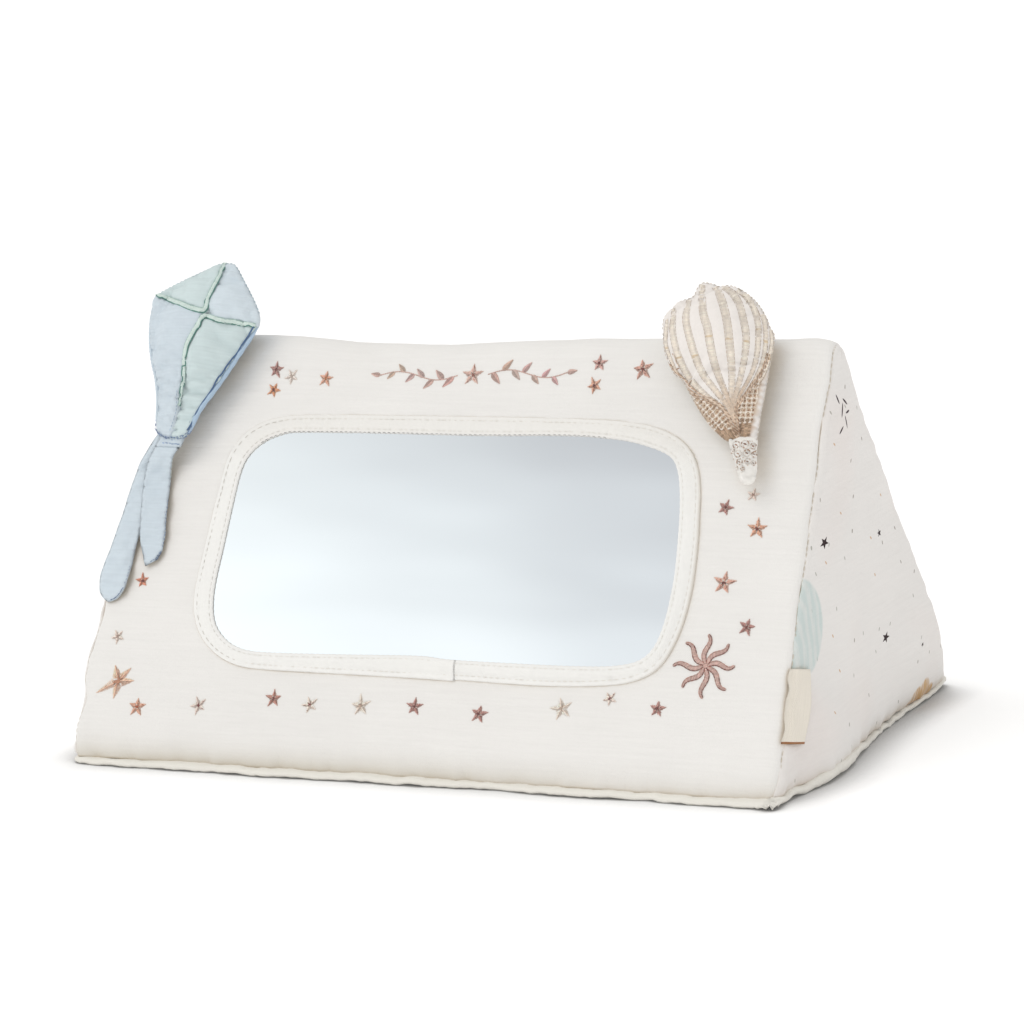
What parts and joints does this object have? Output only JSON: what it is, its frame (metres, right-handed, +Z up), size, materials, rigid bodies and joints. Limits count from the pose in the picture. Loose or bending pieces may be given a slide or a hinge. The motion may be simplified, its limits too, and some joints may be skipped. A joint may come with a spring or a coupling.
{
  "type": "padded floor mirror toy",
  "caption": "Soft padded triangular floor toy that stands on its base, with a sewn mirror window and stuffed shapes that flip over the ridge.",
  "frame": {"origin": "centre of the base panel's underside, on the floor", "axes": "+X along the ridge to the right end, +Y from the mirror side to the back, +Z up"},
  "size_m": [0.343, 0.2146, 0.2163],
  "materials": {
    "cream_cotton": "matte woven cotton",
    "printed_cotton": "matte woven cotton, scattered star and dot print",
    "foam": "open-cell foam",
    "wadding": "soft needled wadding",
    "felt_backing": "stiff felt",
    "mirror_film": "flexible safety mirror",
    "binding_tape": "folded cotton tape, two rows of stitching",
    "mint_fabric": "matte brushed cotton",
    "blue_fabric": "matte brushed cotton",
    "deep_blue_fabric": "matte brushed cotton",
    "mint_piping": "satin-stitched cord",
    "white_fabric": "matte cotton with stitched eyelets",
    "woven_tape": "woven ribbon"
  },
  "bodies": {
    "stand": {"front_cover": "cream_cotton", "back_cover": "printed_cotton", "base_cover": "printed_cotton", "left_end_cover": "printed_cotton", "right_end_cover": "printed_cotton", "front_wadding": "wadding", "back_wadding": "wadding", "base_wadding": "wadding", "left_end_wadding": "wadding", "right_end_wadding": "wadding", "foam_core": "foam", "mirror_backing": "felt_backing", "mirror_sheet": "mirror_film", "mirror_binding": "binding_tape"},
    "kite": {"kite_panel_top_right": "blue_fabric", "kite_panel_top_left": "mint_fabric", "kite_panel_bottom_left": "blue_fabric", "kite_panel_bottom_right": "mint_fabric", "kite_back_cover": "deep_blue_fabric", "kite_filling": "wadding", "kite_cross_piping": "mint_piping", "kite_strap": "woven_tape"},
    "tail_long": {"kite_tail_long": "blue_fabric"},
    "tail_short": {"kite_tail_short": "blue_fabric"},
    "balloon": {"balloon_front_cover": "cream_cotton", "balloon_back_cover": "cream_cotton", "balloon_filling": "wadding", "balloon_basket": "white_fabric", "balloon_strap": "woven_tape"},
    "label": {"loop_label": "woven_tape"}
  },
  "joints": [
    {"name": "kite_flip", "type": "hinge", "parent": "stand", "child": "kite", "pos_m": [-0.133, -0.00482, 0.17758], "axis": [-1, 0, 0], "range_deg": [0, 120]},
    {"name": "balloon_flip", "type": "hinge", "parent": "stand", "child": "balloon", "pos_m": [0.121, -0.00482, 0.17758], "axis": [-1, 0, 0], "range_deg": [0, 120]},
    {"name": "long_tail_lift", "type": "hinge", "parent": "kite", "child": "tail_long", "pos_m": [-0.1482, -0.049, 0.13404], "axis": [-1, 0, 0], "range_deg": [0, 75]},
    {"name": "short_tail_lift", "type": "hinge", "parent": "tail_long", "child": "tail_short", "pos_m": [-0.1482, -0.049, 0.13404], "axis": [-1, 0, 0], "range_deg": [0, 45]},
    {"name": "label_fold", "type": "hinge", "parent": "stand", "child": "label", "pos_m": [0.1714, -0.08738, 0.03811], "axis": [0, -0.4633, -0.8862], "range_deg": [0, 170]}
  ]
}
